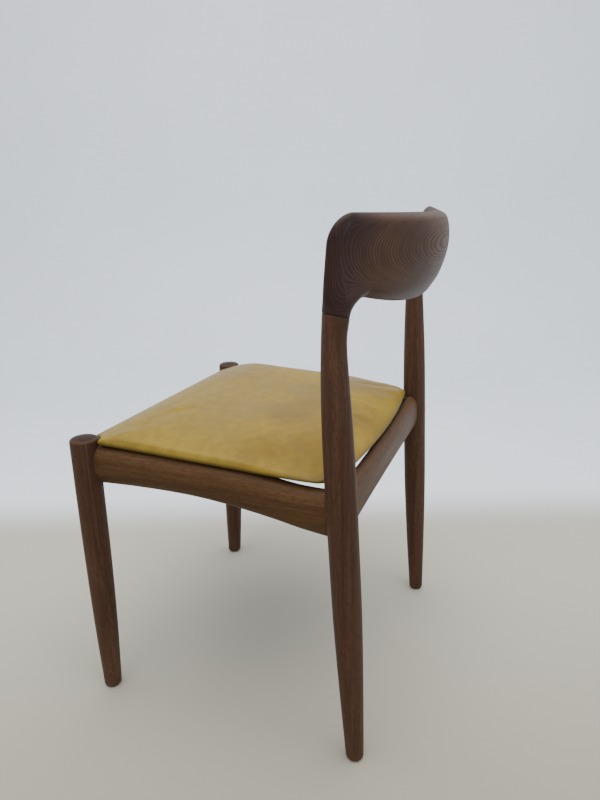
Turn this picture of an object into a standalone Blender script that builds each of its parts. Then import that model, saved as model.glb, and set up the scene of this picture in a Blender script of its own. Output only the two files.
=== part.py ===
"""Dining chair: a carved wooden backrest on two bent rear legs, two round front legs, four shaped rails
with stub tenons, corner blocks, a crossbar and an upholstered seat pad that is screwed on from below.

Metres, +Z up. The floor is z = 0, the chair's front faces -Y and the sitter's left is +X.
"""

import math

import bmesh
import bpy
from mathutils import Matrix, Vector

# Driving dimensions.
GAP = 0.0003  # clearance between pieces that touch
LEG_SIDES = 24
RAIL_STATIONS = 15

# Legs: height, then the centre line's distance from the middle (x), its y, and the radius.
FRONT_LEG = (
    (0.0000, 0.2296, -0.2392, 0.0141),
    (0.1200, 0.2307, -0.2359, 0.0182),
    (0.2400, 0.2315, -0.2332, 0.0203),
    (0.3600, 0.2325, -0.2308, 0.0210),
    (0.4600, 0.2336, -0.2283, 0.0212),
)
REAR_LEG = (
    (0.0000, 0.2268, 0.1973, 0.0132),
    (0.1200, 0.2278, 0.1916, 0.0173),
    (0.2400, 0.2291, 0.1860, 0.0203),
    (0.3600, 0.2312, 0.1806, 0.0208),
    (0.4400, 0.2327, 0.1770, 0.0209),
    (0.5200, 0.2349, 0.1736, 0.0197),
    (0.5900, 0.2364, 0.1707, 0.0173),
    (0.6350, 0.2358, 0.1697, 0.0156),
    (0.6637, 0.2347, 0.1717, 0.0165),
)
FOOT_ROUNDING = 0.007
LEG_TOP_ROUNDING = 0.0045
LEG_TOP_DOME = 0.002

# Side rails: y, height of the upper edge, height of the lower edge.
SIDE_RAIL = (
    (-0.230, 0.4498, 0.3815),
    (-0.140, 0.4474, 0.3862),
    (-0.060, 0.4448, 0.3870),
    (0.000, 0.4429, 0.3830),
    (0.050, 0.4408, 0.3765),
    (0.085, 0.4360, 0.3710),
    (0.120, 0.4318, 0.3645),
    (0.178, 0.4310, 0.3570),
)
SIDE_RAIL_INNER_X = 0.2115
SIDE_RAIL_WIDTH = 0.0290
# Back and front rails: x, height of the upper edge, height of the lower edge.
BACK_RAIL = ((0.0, 0.4290, 0.3615), (0.12, 0.4295, 0.3608), (0.231, 0.4315, 0.3575))
FRONT_RAIL = ((0.0, 0.4470, 0.3900), (0.12, 0.4475, 0.3870), (0.231, 0.4490, 0.3810))
BACK_RAIL_INNER_Y = 0.1640
BACK_RAIL_WIDTH = 0.0244
FRONT_RAIL_INNER_Y = -0.2136
FRONT_RAIL_WIDTH = 0.0290
RAIL_UPPER_ROUNDNESS = 3.0  # superellipse exponents of a rail's outer face
RAIL_LOWER_ROUNDNESS = 2.2
RAIL_CHAMFER = 0.0015
# Rounding above a rail's inner face: distance from that face, drop below the upper edge.
RAIL_INNER_ROUNDING = ((0.0095, 0.0004), (0.0060, 0.0020), (0.0025, 0.0048), (0.0, 0.0085))

# Stub tenons at the rails' ends.
TENON_THICKNESS = 0.010
TENON_LENGTH = 0.014
TENON_HEIGHT = 0.040
TENON_ROOT = 0.010  # how far a tenon reaches back into its rail
SIDE_TENON_X = 0.2250
BACK_TENON_Y = 0.1812
FRONT_TENON_Y = -0.2320
FRONT_TENON_Z = 0.4165
REAR_TENON_Z = 0.3945

# Backrest: height, and y of the rear surface on the middle plane.
BACKREST_REAR = (
    (0.645, 0.2395),
    (0.665, 0.2366),
    (0.685, 0.2457),
    (0.705, 0.2533),
    (0.725, 0.2579),
    (0.745, 0.2583),
    (0.760, 0.2554),
    (0.772, 0.2488),
    (0.782, 0.2139),
)
JOINT_Z = 0.6640  # where the backrest's feet stand on the rear legs
JOINT_RISE = (0.18, -0.15)  # how much the joint's plane rises outwards, and towards the back
FOOT_X = 0.2347
FOOT_Y = 0.1717
FOOT_RADIUS = 0.0165
END_REAR_Y = 0.1892
END_REAR_CURVE = 2.66
END_REAR_X = 0.2400
END_FRONT_Y = 0.1677
END_FRONT_LEAN = 0.225
END_FRONT_CURVE = -0.48
END_FRONT_X = 0.2360
MIDDLE_FRONT_Y = 0.2172
MIDDLE_FRONT_LEAN = 0.16
LEAN_Z = 0.710  # height at which the three y values above hold
FILLET_X = 0.2214  # the fillet above a foot: its upright tangent and where that touches
FILLET_Z = 0.6464
LOWER_EDGE_SIDE_X = 0.1987
LOWER_EDGE_SIDE_Z = 0.6812
LOWER_EDGE_MIDDLE_Z = 0.6567
TOP_MIDDLE_Z = 0.7750
TOP_END_Z = 0.7795
TOP_POWER = 1.4
OUTER_X = 0.2611
CORNER_RADIUS = 0.0261
TOP_ROUNDING = 0.0177
LOWER_ROUNDING = 0.0198
FILLET_STATIONS = 10
POST_STATIONS = 5
SPAN_STATIONS = 17
BACKREST_SIDES = 24
BLEND_HEIGHT = 0.025

DOWEL_RADIUS = 0.004
DOWEL_HALF_LENGTH = 0.018
DOWEL_SPREAD = 0.0062

# Seat pad: it lies in a plane that falls towards the back.
SEAT_FRONT_Y = -0.2310
SEAT_REAR_Y = 0.1790
SEAT_HALF_WIDTH = 0.2345
SEAT_BASE_Z = 0.4434
SEAT_SLOPE = -0.0327
SEAT_CORNER_RADII = (0.030, 0.030)  # front, rear
SEAT_REAR_SHAPING = (0.060, 0.179)  # y between which the two values below come in
SEAT_TAPER = 0.036  # how much the sides draw in, as a share of x
SEAT_BOW = 0.0158  # how far the rear edge's ends lie ahead of its middle
# y, height of the crown above the base on the middle plane, height of the upright part of the side.
SEAT_PROFILE = (
    (-0.2310, 0.0035, 0.0030),
    (-0.2206, 0.0088, 0.0050),
    (-0.2100, 0.0145, 0.0080),
    (-0.1900, 0.0245, 0.0125),
    (-0.1700, 0.0310, 0.0150),
    (-0.1500, 0.0345, 0.0160),
    (-0.0200, 0.0325, 0.0145),
    (0.0600, 0.0308, 0.0125),
    (0.1100, 0.0258, 0.0078),
    (0.1500, 0.0145, 0.0042),
    (0.1665, 0.0090, 0.0038),
    (0.1790, 0.0050, 0.0036),
)
SEAT_SIDE_POWER = 4
SEAT_LOWER_EDGE = ((0.006, 0.0), (0.0015, 0.35), (0.0, 0.70))  # inset, share of the upright part
SEAT_INSETS = (0.0015, 0.006, 0.012, 0.020, 0.030, 0.042, 0.056, 0.075, 0.100, 0.135, 0.180)
SEAT_LEG_CLEARANCE = 0.003
LEATHER = 0.0015
BOARD_THICKNESS = 0.004
# Insets at the sides, and at the front and the rear edge, where the pad is thin.
BOARD_INSET = (0.022, 0.036)
CORE_INSET = (0.0015, 0.0060)
FOAM_INSET = (0.0060, 0.0140)
FOAM_DROP = 0.0028
DUST_COVER_THICKNESS = 0.001
OPENING_INSET = (0.050, 0.062)

# Corner blocks and crossbar.
BLOCK_LEG = 0.060
BLOCK_TIP = 0.010
BLOCK_NOSE = 0.006
BLOCK_HEIGHT = 0.022
FRONT_BLOCK_TOP = 0.4425
REAR_BLOCK_TOP = 0.3980
CROSSBAR_Y = 0.040
CROSSBAR_WIDTH = 0.045
CROSSBAR_HEIGHT = 0.020
CROSSBAR_DROP = 0.0006
CROSSBAR_TENON = 0.008
CROSSBAR_TENON_WIDTH = 0.030
CROSSBAR_TENON_HEIGHT = 0.008
CROSSBAR_TENON_DROP = 0.0045  # how far the tenons lie below the middle of the bar

# Wood screws: countersunk head, plain shank.
HEAD_RADIUS = 0.0042
HEAD_HEIGHT = 0.0032
SHANK_RADIUS = 0.0020
BLOCK_SCREW_LENGTH = 0.028
BLOCK_SCREW_REACH = 0.046  # from the corner along a rail
BLOCK_SCREW_DEPTH = 0.010  # from the rail's inner face to the screw's head
BLOCK_SCREW_RISE = 0.004  # the two screws of a block pass at different heights
SEAT_SCREW_LENGTH = 0.026
SEAT_SCREW_INSET = 0.030
SEAT_SCREW_COVER = 0.002  # wood left above a seat screw's tip
SEAT_SCREW_X = 0.120
SCREW_SIDES = 12

WALNUT = (0.105, 0.052, 0.031)
ROSEWOOD = (0.085, 0.047, 0.033)
BEECH = (0.52, 0.36, 0.21)
STEEL = (0.46, 0.45, 0.43)
MUSTARD = (0.47, 0.36, 0.15)
FOAM = (0.72, 0.66, 0.46)
PLYWOOD = (0.50, 0.36, 0.22)
BLACK_CLOTH = (0.03, 0.03, 0.03)


def clear_scene():
    for obj in list(bpy.data.objects):
        bpy.data.objects.remove(obj, do_unlink=True)


def collection(name, hidden=False):
    made = bpy.data.collections.new(name)
    bpy.context.scene.collection.children.link(made)
    made.hide_render = hidden
    return made


def material(name, colour, roughness, metallic=0.0):
    made = bpy.data.materials.new(name)
    made.use_nodes = True
    shader = made.node_tree.nodes["Principled BSDF"]
    shader.inputs["Base Color"].default_value = (*colour, 1.0)
    shader.inputs["Roughness"].default_value = roughness
    shader.inputs["Metallic"].default_value = metallic
    return made


def smooth(knots, at, column=1):
    """Smooth curve through the knots' values of one column, at a value of their first column."""
    keys = [knot[0] for knot in knots]
    values = [knot[column] for knot in knots]
    at = min(max(at, keys[0]), keys[-1])
    i = max(k for k in range(len(keys) - 1) if keys[k] <= at)
    span = keys[i + 1] - keys[i]

    def tangent(k):
        low, high = max(k - 1, 0), min(k + 1, len(keys) - 1)
        return (values[high] - values[low]) / (keys[high] - keys[low])

    t = (at - keys[i]) / span
    return (
        (2 * t**3 - 3 * t**2 + 1) * values[i]
        + (t**3 - 2 * t**2 + t) * span * tangent(i)
        + (3 * t**2 - 2 * t**3) * values[i + 1]
        + (t**3 - t**2) * span * tangent(i + 1)
    )


def add_mesh(name, bm, group, finish=None):
    """Closes the bmesh into an object of the group, with faces pointing out and round faces smooth."""
    bmesh.ops.recalc_face_normals(bm, faces=bm.faces)
    mesh = bpy.data.meshes.new(name)
    bm.to_mesh(mesh)
    bm.free()
    mesh.shade_smooth()
    mesh.set_sharp_from_angle(angle=math.radians(35))
    obj = bpy.data.objects.new(name, mesh)
    group.objects.link(obj)
    if finish:
        mesh.materials.append(finish)
    else:
        obj.hide_render = True
        obj.display_type = "WIRE"
    return obj


def loft(name, rings, group, finish=None):
    """A closed skin over rings of equal length, with a flat cap at each end."""
    bm = bmesh.new()
    rows = [[bm.verts.new(point) for point in ring] for ring in rings]
    count = len(rows[0])
    for below, above in zip(rows, rows[1:]):
        for i in range(count):
            j = (i + 1) % count
            bm.faces.new((below[i], below[j], above[j], above[i]))
    bm.faces.new(rows[0])
    bm.faces.new(rows[-1])
    return add_mesh(name, bm, group, finish)


def box(name, corner, opposite, group, finish=None):
    bm = bmesh.new()
    centre = (Vector(corner) + Vector(opposite)) / 2
    size = [abs(b - a) for a, b in zip(corner, opposite)]
    place = Matrix.Translation(centre) @ Matrix.Diagonal((*size, 1.0))
    bmesh.ops.create_cube(bm, size=1.0, matrix=place)
    return add_mesh(name, bm, group, finish)


def cylinder(name, base, radius, depth, group, sides=LEG_SIDES, finish=None):
    """An upright cylinder that stands on the point base."""
    bm = bmesh.new()
    middle = Vector(base) + Vector((0, 0, depth / 2))
    bmesh.ops.create_cone(
        bm, cap_ends=True, segments=sides, radius1=radius, radius2=radius, depth=depth,
        matrix=Matrix.Translation(middle),
    )
    return add_mesh(name, bm, group, finish)


def prism(name, outline, low, high, group, finish=None):
    """An upright prism over a flat outline of (x, y) points."""
    return loft(name, [[(x, y, z) for x, y in outline] for z in (low, high)], group, finish)


def turned(name, profile, group, finish=None):
    """A profile of (radius, z) points from the top down, turned round the object's z axis."""
    bm = bmesh.new()
    points = [bm.verts.new((radius, 0.0, z)) for radius, z in profile]
    for above, below in zip(points, points[1:]):
        bm.edges.new((above, below))
    mesh = bpy.data.meshes.new(name)
    bm.to_mesh(mesh)
    bm.free()
    obj = bpy.data.objects.new(name, mesh)
    group.objects.link(obj)
    screw = obj.modifiers.new("turn", "SCREW")
    screw.steps = screw.render_steps = SCREW_SIDES
    screw.use_merge_vertices = True
    screw.merge_threshold = 0.00005
    if finish:
        mesh.materials.append(finish)
    else:
        obj.hide_render = True
        obj.display_type = "WIRE"
    return obj


def cut(obj, cutter, operation="DIFFERENCE"):
    change = obj.modifiers.new(f"{operation.lower()} {cutter.name}", "BOOLEAN")
    change.operation = operation
    change.solver = "EXACT"
    change.object = cutter


def leg_ring(knots, side, z, radius, at=None):
    """A circle of points round a leg's centre line at height z; at places it on another height."""
    x = side * smooth(knots, z, 1)
    y = smooth(knots, z, 2)
    turn = 2 * math.pi / LEG_SIDES
    return [
        (x + radius * math.cos(i * turn), y + radius * math.sin(i * turn), z if at is None else at)
        for i in range(LEG_SIDES)
    ]


def joint_rise(x, y):
    """How far the plane of the backrest's joint lies above JOINT_Z at (x, y)."""
    return JOINT_RISE[0] * (abs(x) - FOOT_X) + JOINT_RISE[1] * (y - FOOT_Y)


def leg_rings(knots, side, domed):
    """The rings of a leg: a rounded foot, and a rounded top where domed or else the joint's plane."""
    top = knots[-1][0]
    rings = []
    for degrees in (0, 30, 60):
        drop = FOOT_ROUNDING * (1 - math.sin(math.radians(degrees)))
        z = FOOT_ROUNDING * (1 - math.cos(math.radians(degrees)))
        rings.append(leg_ring(knots, side, z, smooth(knots, FOOT_ROUNDING, 3) - drop))
    end = top - (LEG_TOP_ROUNDING if domed else 0)
    steps = round((end - FOOT_ROUNDING) / 0.04)
    for i in range(steps + 1):
        z = FOOT_ROUNDING + (end - FOOT_ROUNDING) * i / steps
        rings.append(leg_ring(knots, side, z, smooth(knots, z, 3)))
    if domed:
        for degrees in (30, 60, 90):
            angle = math.radians(degrees)
            radius = smooth(knots, end, 3) - LEG_TOP_ROUNDING * (1 - math.cos(angle))
            rings.append(leg_ring(knots, side, end + LEG_TOP_ROUNDING * math.sin(angle), radius))
        rings.append(leg_ring(knots, side, top, radius / 2, at=top + LEG_TOP_DOME))
    else:
        rings[-1] = [(x, y, z + joint_rise(x, y)) for x, y, z in rings[-1]]
    return rings


def leg_cutter(name, knots, side, group):
    """The leg enlarged by the gap, long enough to shape the ends of the rails."""
    low, high = 0.33, 0.48
    rings = []
    for i in range(6):
        z = low + (high - low) * i / 5
        rings.append(leg_ring(knots, side, z, smooth(knots, z, 3) + GAP))
    return loft(name, rings, group)


def rail_section(width, low, high):
    """(distance from the inner face, z) round a rail: a flat inner face and a swelling outer one."""
    half = (high - low) / 2
    middle = (high + low) / 2
    points = [(0.0, low + RAIL_CHAMFER), (RAIL_CHAMFER, low)]
    for degrees in range(-72, 73, 12):
        angle = math.radians(degrees)
        power = 2 / (RAIL_UPPER_ROUNDNESS if degrees > 0 else RAIL_LOWER_ROUNDNESS)
        across = width * math.cos(angle) ** power
        up = half * math.copysign(abs(math.sin(angle)) ** power, angle)
        points.append((across, middle + up))
    points += [(across, high - drop) for across, drop in RAIL_INNER_ROUNDING]
    return points


def side_rail(side, group, finish):
    """A side rail between the leg centres, mitred inside each leg's corner."""
    front = (smooth(FRONT_LEG, 0.42, 1), smooth(FRONT_LEG, 0.42, 2))
    rear = (smooth(REAR_LEG, 0.42, 1), smooth(REAR_LEG, 0.42, 2))
    rings = []
    for i in range(RAIL_STATIONS):
        t = i / (RAIL_STATIONS - 1)
        along = front[1] + (rear[1] - front[1]) * t
        low, high = smooth(SIDE_RAIL, along, 2), smooth(SIDE_RAIL, along, 1)
        ring = []
        for across, z in rail_section(SIDE_RAIL_WIDTH, low, high):
            x = SIDE_RAIL_INNER_X + across
            start = front[1] + max(0.0, front[0] - x) + GAP
            end = rear[1] - max(0.0, rear[0] - x) - GAP
            ring.append((side * x, start + (end - start) * t, z))
        rings.append(ring)
    return loft(f"side_rail_{SIDE_NAMES[side]}", rings, group, finish)


def cross_rail(name, knots, inner_y, width, outward, leg, group, finish):
    """A front or back rail between the leg centres; outward is the sign of y of its swelling face."""
    leg_x, leg_y = smooth(leg, 0.42, 1), smooth(leg, 0.42, 2)
    rings = []
    for i in range(RAIL_STATIONS):
        t = 2 * i / (RAIL_STATIONS - 1) - 1
        along = abs(t) * leg_x
        ring = []
        for across, z in rail_section(width, smooth(knots, along, 2), smooth(knots, along, 1)):
            y = inner_y + outward * across
            end = leg_x - max(0.0, outward * (leg_y - y)) - GAP
            ring.append((t * end, y, z))
        rings.append(ring)
    return loft(name, rings, group, finish)


def tenon_box(low, high, grow=0.0):
    """The two corners of a tenon, enlarged on every side by grow."""
    ordered = [sorted(pair) for pair in zip(low, high)]
    return [a - grow for a, _ in ordered], [b + grow for _, b in ordered]


def tenon(name, rail, leg, low, high, cutters):
    """Adds a tenon to a rail, and cuts its mortise in the leg."""
    tongue = box(f"tenon_{name}", *tenon_box(low, high), cutters)
    cut(rail, tongue, "UNION")
    cut(leg, box(f"mortise_{name}", *tenon_box(low, high, GAP), cutters))


def backrest_outline():
    """Pairs of (x, z) points on the lower and on the upper outline, from a foot to the middle."""
    lower, upper = [], []
    rise = LOWER_EDGE_SIDE_Z - FILLET_Z
    start = math.asin((JOINT_Z - FILLET_Z) / rise)
    corner_z = TOP_END_Z - CORNER_RADIUS
    corner_steps = FILLET_STATIONS - POST_STATIONS
    for i in range(FILLET_STATIONS):
        angle = start + (math.pi / 2 - start) * i / (FILLET_STATIONS - 1)
        x = FILLET_X - (FILLET_X - LOWER_EDGE_SIDE_X) * (1 - math.cos(angle))
        lower.append((x, FILLET_Z + rise * math.sin(angle)))
        if i < POST_STATIONS:
            up = i / (POST_STATIONS - 1)
            foot = FOOT_X + FOOT_RADIUS
            upper.append((foot + (OUTER_X - foot) * up, JOINT_Z + (corner_z - JOINT_Z) * up))
        else:
            turn = math.radians(90 * (i + 1 - POST_STATIONS) / corner_steps)
            upper.append((
                OUTER_X - CORNER_RADIUS * (1 - math.cos(turn)),
                corner_z + CORNER_RADIUS * math.sin(turn),
            ))
    for i in range(1, SPAN_STATIONS + 1):
        left = 1 - i / SPAN_STATIONS
        x = LOWER_EDGE_SIDE_X * left
        lower.append((x, LOWER_EDGE_MIDDLE_Z + (LOWER_EDGE_SIDE_Z - LOWER_EDGE_MIDDLE_Z) * left**2))
        x = (OUTER_X - CORNER_RADIUS) * left
        upper.append((x, TOP_MIDDLE_Z + (TOP_END_Z - TOP_MIDDLE_Z) * left**TOP_POWER))
    return list(zip(lower, upper))


def backrest_faces(x, z):
    """y of the rear and of the front surface at (x, z), before the edges are rounded."""
    lean = z - LEAN_Z
    rear = smooth(BACKREST_REAR, z)
    rear -= (rear - END_REAR_Y - END_REAR_CURVE * lean**2) * (x / END_REAR_X) ** 2
    end = END_FRONT_Y + END_FRONT_LEAN * lean + END_FRONT_CURVE * max(lean, 0) ** 2
    front = MIDDLE_FRONT_Y + MIDDLE_FRONT_LEAN * lean
    front -= (front - end) * (x / END_FRONT_X) ** 2
    return rear, front


def edge_fullness(distance, rounding):
    """0 at an edge, 1 where the face is full, along a quarter circle."""
    left = 1 - min(distance / rounding, 1.0)
    return math.sqrt(1 - left * left)


def backrest_ring(lower, upper):
    """One section of the backrest, blended into the rear leg's round section at the feet."""
    length = math.dist(lower, upper)
    low_round = min(LOWER_ROUNDING, length / 2)
    top_round = min(TOP_ROUNDING, length / 2)
    ring = []
    for i in range(BACKREST_SIDES):
        angle = 2 * math.pi * i / BACKREST_SIDES
        part = (1 - math.cos(angle)) / 2
        x = lower[0] + (upper[0] - lower[0]) * part
        z = lower[1] + (upper[1] - lower[1]) * part
        rear, front = backrest_faces(x, z)
        middle = (rear + front) / 2
        full = min(
            edge_fullness(part * length, low_round),
            edge_fullness((1 - part) * length, top_round),
        )
        y = middle + ((rear if angle < math.pi else front) - middle) * full
        blend = max(0.0, 1 - (z - JOINT_Z) / BLEND_HEIGHT) if x > LOWER_EDGE_SIDE_X else 0.0
        blend = blend * blend * (3 - 2 * blend)
        x += blend * (FOOT_X - FOOT_RADIUS * math.cos(angle) - x)
        y += blend * (FOOT_Y + FOOT_RADIUS * math.sin(angle) - y)
        ring.append((x, y, z + blend * joint_rise(x, y)))
    return ring


def backrest(group, finish):
    half = [backrest_ring(lower, upper) for lower, upper in backrest_outline()]
    other = [[(-x, y, z) for x, y, z in ring] for ring in reversed(half[:-1])]
    return loft("backrest", half + other, group, finish)


def rounded_rectangle(half_width, front, rear, front_radius, rear_radius):
    """An outline of (x, y) points, counter-clockwise."""
    outline = []
    corners = (
        (half_width - rear_radius, rear - rear_radius, rear_radius, 0),
        (rear_radius - half_width, rear - rear_radius, rear_radius, 90),
        (front_radius - half_width, front + front_radius, front_radius, 180),
        (half_width - front_radius, front + front_radius, front_radius, 270),
    )
    for x, y, radius, start in corners:
        for step in range(5):
            angle = math.radians(start + 22.5 * step)
            outline.append((x + radius * math.cos(angle), y + radius * math.sin(angle)))
    return outline


def shaped(x, y):
    """The point (x, y) after the seat's rear part is drawn in at its sides and bowed at its edge."""
    start, end = SEAT_REAR_SHAPING
    share = min(max((y - start) / (end - start), 0.0), 1.0) ** 2
    return x * (1 - SEAT_TAPER * share), y - SEAT_BOW * share * (x / SEAT_HALF_WIDTH) ** 2


def seat_outline(side, end):
    """The seat's outline, moved inwards by side at its sides and by end at its front and rear."""
    outline = rounded_rectangle(
        SEAT_HALF_WIDTH - side, SEAT_FRONT_Y + end, SEAT_REAR_Y - end,
        *(max(radius - (side + end) / 2, radius / 3) for radius in SEAT_CORNER_RADII),
    )
    return [shaped(x, y) for x, y in outline]


def seat_z(y, above):
    """Height of a point that lies above the seat's sloping base."""
    return SEAT_BASE_Z + SEAT_SLOPE * y + above


def seat_top(x, y):
    """Height of the crowned top above the base."""
    crown, side = smooth(SEAT_PROFILE, y, 1), smooth(SEAT_PROFILE, y, 2)
    return side + (crown - side) * (1 - abs(x / SEAT_HALF_WIDTH) ** SEAT_SIDE_POWER)


def seat_slab(name, inset, low, drop, group, finish=None):
    """A crowned slab in the seat's plane, from low above the base up to drop under the leather's top."""
    side, end = inset
    rings = []
    for more, share in SEAT_LOWER_EDGE:
        outline = seat_outline(side + more, end + more)
        rings.append([
            (x, y, seat_z(y, low + share * (seat_top(x, y) - drop - low))) for x, y in outline
        ])
    for more in SEAT_INSETS:
        outline = seat_outline(side + more, end + more)
        rings.append([(x, y, seat_z(y, seat_top(x, y) - drop)) for x, y in outline])
    return loft(name, rings, group, finish)


def seat_plate(name, inset, low, high, group, finish=None):
    """A flat plate in the seat's plane."""
    outline = seat_outline(*inset)
    rings = [[(x, y, seat_z(y, above)) for x, y in outline] for above in (low, high)]
    return loft(name, rings, group, finish)


def grown(inset, by):
    return tuple(value - by for value in inset)


def clear_of_legs(obj, name, extra, cutters):
    """Cuts round notches for the four legs."""
    for place, knots in (("front", FRONT_LEG), ("rear", REAR_LEG)):
        for side in SIDE_NAMES:
            x, y = side * smooth(knots, 0.45, 1), smooth(knots, 0.45, 2)
            radius = smooth(knots, 0.45, 3) + extra
            label = f"{name}_notch_{place}_{SIDE_NAMES[side]}"
            cut(obj, cylinder(label, (x, y, 0.40), radius, 0.12, cutters))


def screw_profile(length, grow=0.0, tail=0.0):
    """(radius, z) of a countersunk screw whose head top is z = 0 and whose tip points down."""
    profile = [(0.0, tail), (HEAD_RADIUS + grow, tail)] if tail else [(0.0, 0.0)]
    profile += [
        (HEAD_RADIUS + grow, 0.0),
        (SHANK_RADIUS + grow, -HEAD_HEIGHT),
        (SHANK_RADIUS + grow, -length + 0.004),
        (0.0, -length - grow),
    ]
    return profile


def screw(name, head, direction, length, through, groups, finish):
    """A screw whose head lies at head and which points along direction, and its hole in each piece."""
    turn = Vector((0, 0, -1)).rotation_difference(Vector(direction))
    fastener = turned(name, screw_profile(length), groups["parts"], finish)
    hole = turned(f"hole_{name}", screw_profile(length, GAP, 0.06), groups["cutters"])
    for obj in (fastener, hole):
        obj.location = head
        obj.rotation_mode = "QUATERNION"
        obj.rotation_quaternion = turn
    for piece in through:
        cut(piece, hole)


def dowel(name, place, through, groups, finish):
    """An upright dowel across the joint of a rear leg and the backrest, and its holes."""
    length = 2 * DOWEL_HALF_LENGTH
    base = (*place, JOINT_Z - DOWEL_HALF_LENGTH)
    cylinder(name, base, DOWEL_RADIUS, length, groups["parts"], SCREW_SIDES, finish)
    base = (*place, JOINT_Z - DOWEL_HALF_LENGTH - GAP)
    length += 2 * GAP
    hole = cylinder(f"hole_{name}", base, DOWEL_RADIUS + GAP, length, groups["cutters"], SCREW_SIDES)
    for piece in through:
        cut(piece, hole)


def corner_block(place, side, corner_y, inward, top, group, finish):
    """A six-sided block in a corner of the frame; inward is the sign of y towards the middle."""
    x, y = SIDE_RAIL_INNER_X - GAP, corner_y + inward * GAP
    outline = [
        (x - BLOCK_NOSE, y),
        (x, y + inward * BLOCK_NOSE),
        (x, y + inward * BLOCK_LEG),
        (x - BLOCK_TIP, y + inward * BLOCK_LEG),
        (x - BLOCK_LEG, y + inward * BLOCK_TIP),
        (x - BLOCK_LEG, y),
    ]
    outline = [(side * px, py) for px, py in outline]
    name = f"corner_block_{place}_{SIDE_NAMES[side]}"
    return prism(name, outline, top - BLOCK_HEIGHT, top, group, finish)


SIDE_NAMES = {1: "left", -1: "right"}


def make_frame(groups, finishes):
    """Legs, rails with their tenons, and the backrest on its dowels."""
    parts, cutters = groups["parts"], groups["cutters"]
    legs, rails = {}, {}
    for side, label in SIDE_NAMES.items():
        for place, knots in (("front", FRONT_LEG), ("rear", REAR_LEG)):
            rings = leg_rings(knots, side, domed=place == "front")
            legs[place, side] = loft(f"{place}_leg_{label}", rings, parts, finishes["leg"])
        rails["side", side] = side_rail(side, parts, finishes["rail"])
    rails["back"] = cross_rail(
        "back_rail", BACK_RAIL, BACK_RAIL_INNER_Y, BACK_RAIL_WIDTH, 1, REAR_LEG,
        parts, finishes["rail"],
    )
    rails["front"] = cross_rail(
        "front_rail", FRONT_RAIL, FRONT_RAIL_INNER_Y, FRONT_RAIL_WIDTH, -1, FRONT_LEG,
        parts, finishes["rail"],
    )
    for side, label in SIDE_NAMES.items():
        for place, knots in (("front", FRONT_LEG), ("rear", REAR_LEG)):
            shape = leg_cutter(f"cope_{place}_{label}", knots, side, cutters)
            cross = rails["front" if place == "front" else "back"]
            cut(rails["side", side], shape)
            cut(cross, shape)
    for side in SIDE_NAMES:
        add_tenons(side, legs, rails, cutters)
    top = backrest(parts, finishes["backrest"])
    for side, label in SIDE_NAMES.items():
        for place, step in (("front", -1), ("rear", 1)):
            spot = (side * FOOT_X, FOOT_Y + step * DOWEL_SPREAD)
            through = (top, legs["rear", side])
            dowel(f"backrest_dowel_{place}_{label}", spot, through, groups, finishes["beech"])
    return rails


def add_tenons(side, legs, rails, cutters):
    """The stub tenons of one side: they stop short of each other inside the legs."""
    label = SIDE_NAMES[side]
    half = TENON_THICKNESS / 2
    tall = TENON_HEIGHT / 2
    ends = (
        ("front", FRONT_LEG, FRONT_TENON_Z, -1, FRONT_TENON_Y),
        ("rear", REAR_LEG, REAR_TENON_Z, 1, BACK_TENON_Y),
    )
    for place, knots, z, way, cross_y in ends:
        leg_x, leg_y, radius = (smooth(knots, z, column) for column in (1, 2, 3))
        face = leg_y - way * math.sqrt(radius**2 - (leg_x - SIDE_TENON_X) ** 2)
        low = (side * (SIDE_TENON_X - half), face - way * TENON_ROOT, z - tall)
        high = (side * (SIDE_TENON_X + half), face + way * TENON_LENGTH, z + tall)
        tenon(f"side_{place}_{label}", rails["side", side], legs[place, side], low, high, cutters)
        face = leg_x - math.sqrt(radius**2 - (leg_y - cross_y) ** 2)
        low = (side * (face - TENON_ROOT), cross_y - half, z - tall)
        high = (side * (face + TENON_LENGTH), cross_y + half, z + tall)
        rail = rails["front" if place == "front" else "back"]
        tenon(f"{place}_{label}", rail, legs[place, side], low, high, cutters)


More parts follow.
